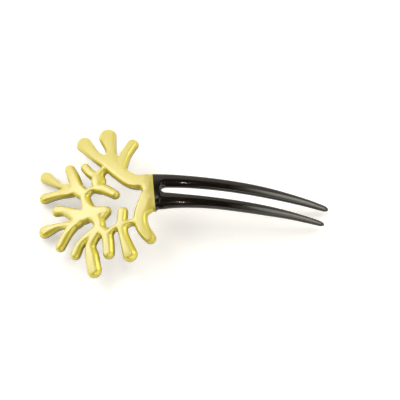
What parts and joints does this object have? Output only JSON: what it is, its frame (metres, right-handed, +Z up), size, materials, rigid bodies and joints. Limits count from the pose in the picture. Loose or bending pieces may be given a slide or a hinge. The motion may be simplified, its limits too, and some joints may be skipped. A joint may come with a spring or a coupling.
{
  "type": "hair fork",
  "caption": "Bowed hair fork: slim tapering prongs of polished black horn and a wide head carved as branching coral in pale gold lacquer.",
  "frame": {"origin": "the middle of the fork's box at its foot, on the surface that the fork lies on", "axes": "+X along the fork from the coral to the prong tips, +Y across it towards the side of the longer prong, +Z up from the hollow side to the bowed side"},
  "size_m": [0.1534, 0.0864, 0.0232],
  "materials": {
    "black_horn": "natural black horn, hand polished, a little greyer and worn towards the tips",
    "gold_lacquer": "pale gold lacquer over carved horn, soft gloss"
  },
  "bodies": {
    "root": {"horn_fork": "black_horn", "coral_head": "gold_lacquer"}
  },
  "joints": []
}
